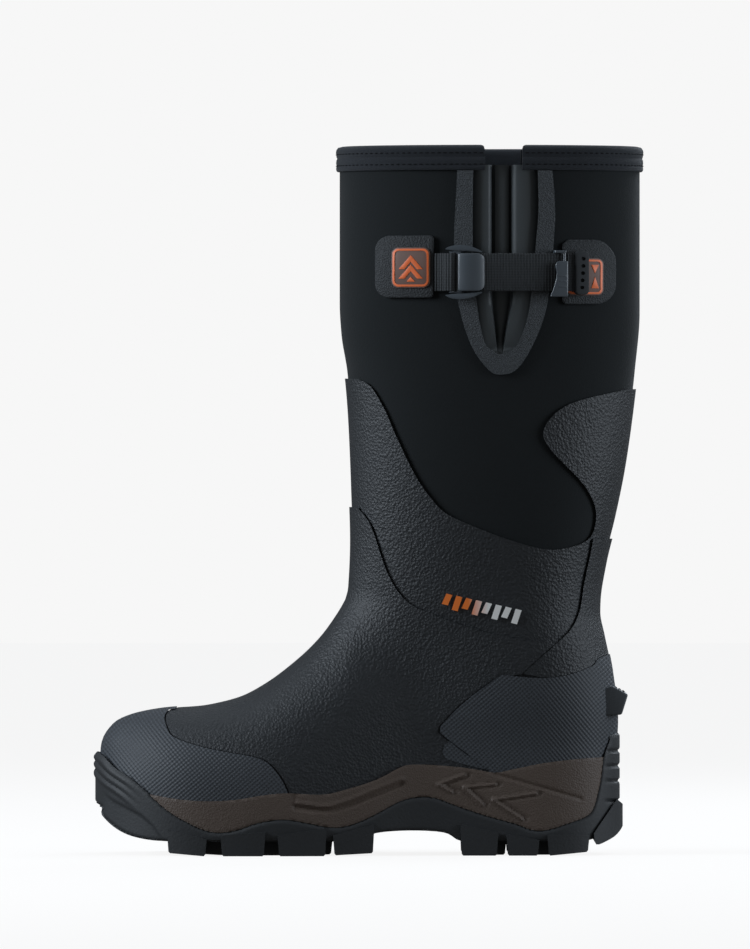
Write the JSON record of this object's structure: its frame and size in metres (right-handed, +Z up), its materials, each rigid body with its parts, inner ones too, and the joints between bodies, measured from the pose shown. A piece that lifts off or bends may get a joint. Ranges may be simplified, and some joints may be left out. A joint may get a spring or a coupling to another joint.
{
  "type": "insulated hunting boot",
  "caption": "Knee-high insulated boot for the left foot: neoprene leg in a rubber foot, lugged sole, side gusset and an adjustable webbing strap with a release buckle.",
  "frame": {"origin": "centre of the bounding box, on the floor under the sole", "axes": "+Z up the leg, -X towards the toe, -Y towards the outer side of the left leg"},
  "size_m": [0.3272, 0.1234, 0.424],
  "materials": {
    "outsole_rubber": "moulded, matt, fine grain",
    "foxing_rubber": "brown, pebbled, satin",
    "midsole_foam": "moulded foam",
    "shank_steel": "stamped strip",
    "insole_board": "pressed fibre board",
    "footbed_foam": "foam with knitted top",
    "upper_rubber": "pebbled, satin",
    "ribbed_rubber": "fine ribbed, matt",
    "stiffener_board": "thermoformed sheet",
    "neoprene": "knit faced neoprene, matt",
    "fleece": "brushed fleece",
    "tape_rubber": "grained, matt",
    "bellows_rubber": "smooth coated fabric, satin",
    "binding_fabric": "knitted binding with two rows of stitching",
    "patch_rubber": "grained, matt",
    "badge_rubber": "soft moulded badge with raised orange border",
    "webbing_nylon": "ribbed webbing",
    "buckle_plastic": "moulded, satin gloss"
  },
  "bodies": {
    "root": {"outsole": "outsole_rubber", "foxing": "foxing_rubber", "midsole_core": "midsole_foam", "shank": "shank_steel", "insole_board": "insole_board", "footbed": "footbed_foam", "vamp_shell": "upper_rubber", "vamp_overlay": "upper_rubber", "toe_cap": "ribbed_rubber", "heel_counter": "ribbed_rubber", "rear_strip": "upper_rubber", "kick_spur": "ribbed_rubber", "toe_puff": "stiffener_board", "heel_stiffener": "stiffener_board", "bootie_shaft": "neoprene", "fleece_lining": "fleece", "gusset_tape": "tape_rubber", "gusset_bellows": "bellows_rubber", "collar_binding": "binding_fabric", "front_patch": "patch_rubber", "front_badge": "badge_rubber", "short_webbing": "webbing_nylon", "buckle_plug": "buckle_plastic", "main_webbing": "webbing_nylon", "lock_frame": "buckle_plastic", "rear_patch": "patch_rubber", "rear_badge": "badge_rubber"},
    "socket": {"buckle_socket": "buckle_plastic"},
    "upper_squeeze_lever": {"lever_upper": "buckle_plastic"},
    "lower_squeeze_lever": {"lever_lower": "buckle_plastic"},
    "cam_lever": {"thumb_lever": "buckle_plastic"},
    "tail": {"tail_webbing": "webbing_nylon", "tail_grip": "patch_rubber"}
  },
  "joints": [
    {"name": "buckle_release", "type": "slide", "parent": "root", "child": "socket", "axis": [0.999, -0.0457, 0], "range_m": [0, 0.011], "deforming": ["main_webbing"]},
    {"name": "upper_lever_squeeze", "type": "hinge", "parent": "root", "child": "upper_squeeze_lever", "pos_m": [0.05447, -0.05744, 0.36215], "axis": [-0.1007, -0.9949, 0], "range_deg": [0, 7]},
    {"name": "lower_lever_squeeze", "type": "hinge", "parent": "root", "child": "lower_squeeze_lever", "pos_m": [0.05447, -0.05744, 0.33385], "axis": [0.1007, 0.9949, 0], "range_deg": [0, 7]},
    {"name": "cam_lift", "type": "hinge", "parent": "root", "child": "cam_lever", "pos_m": [0.11698, -0.05531, 0.348], "axis": [0, 0, 1], "range_deg": [0, 40], "deforming": ["main_webbing"]},
    {"name": "tail_lift", "type": "hinge", "parent": "root", "child": "tail", "pos_m": [0.11936, -0.05258, 0.348], "axis": [0, 0, -1], "range_deg": [0, 70], "deforming": ["main_webbing"]}
  ],
  "couplings": [
    {"joint": "upper_lever_squeeze", "follows": "buckle_release", "rad_per_m": 11.1},
    {"joint": "lower_lever_squeeze", "follows": "buckle_release", "rad_per_m": 11.1}
  ]
}
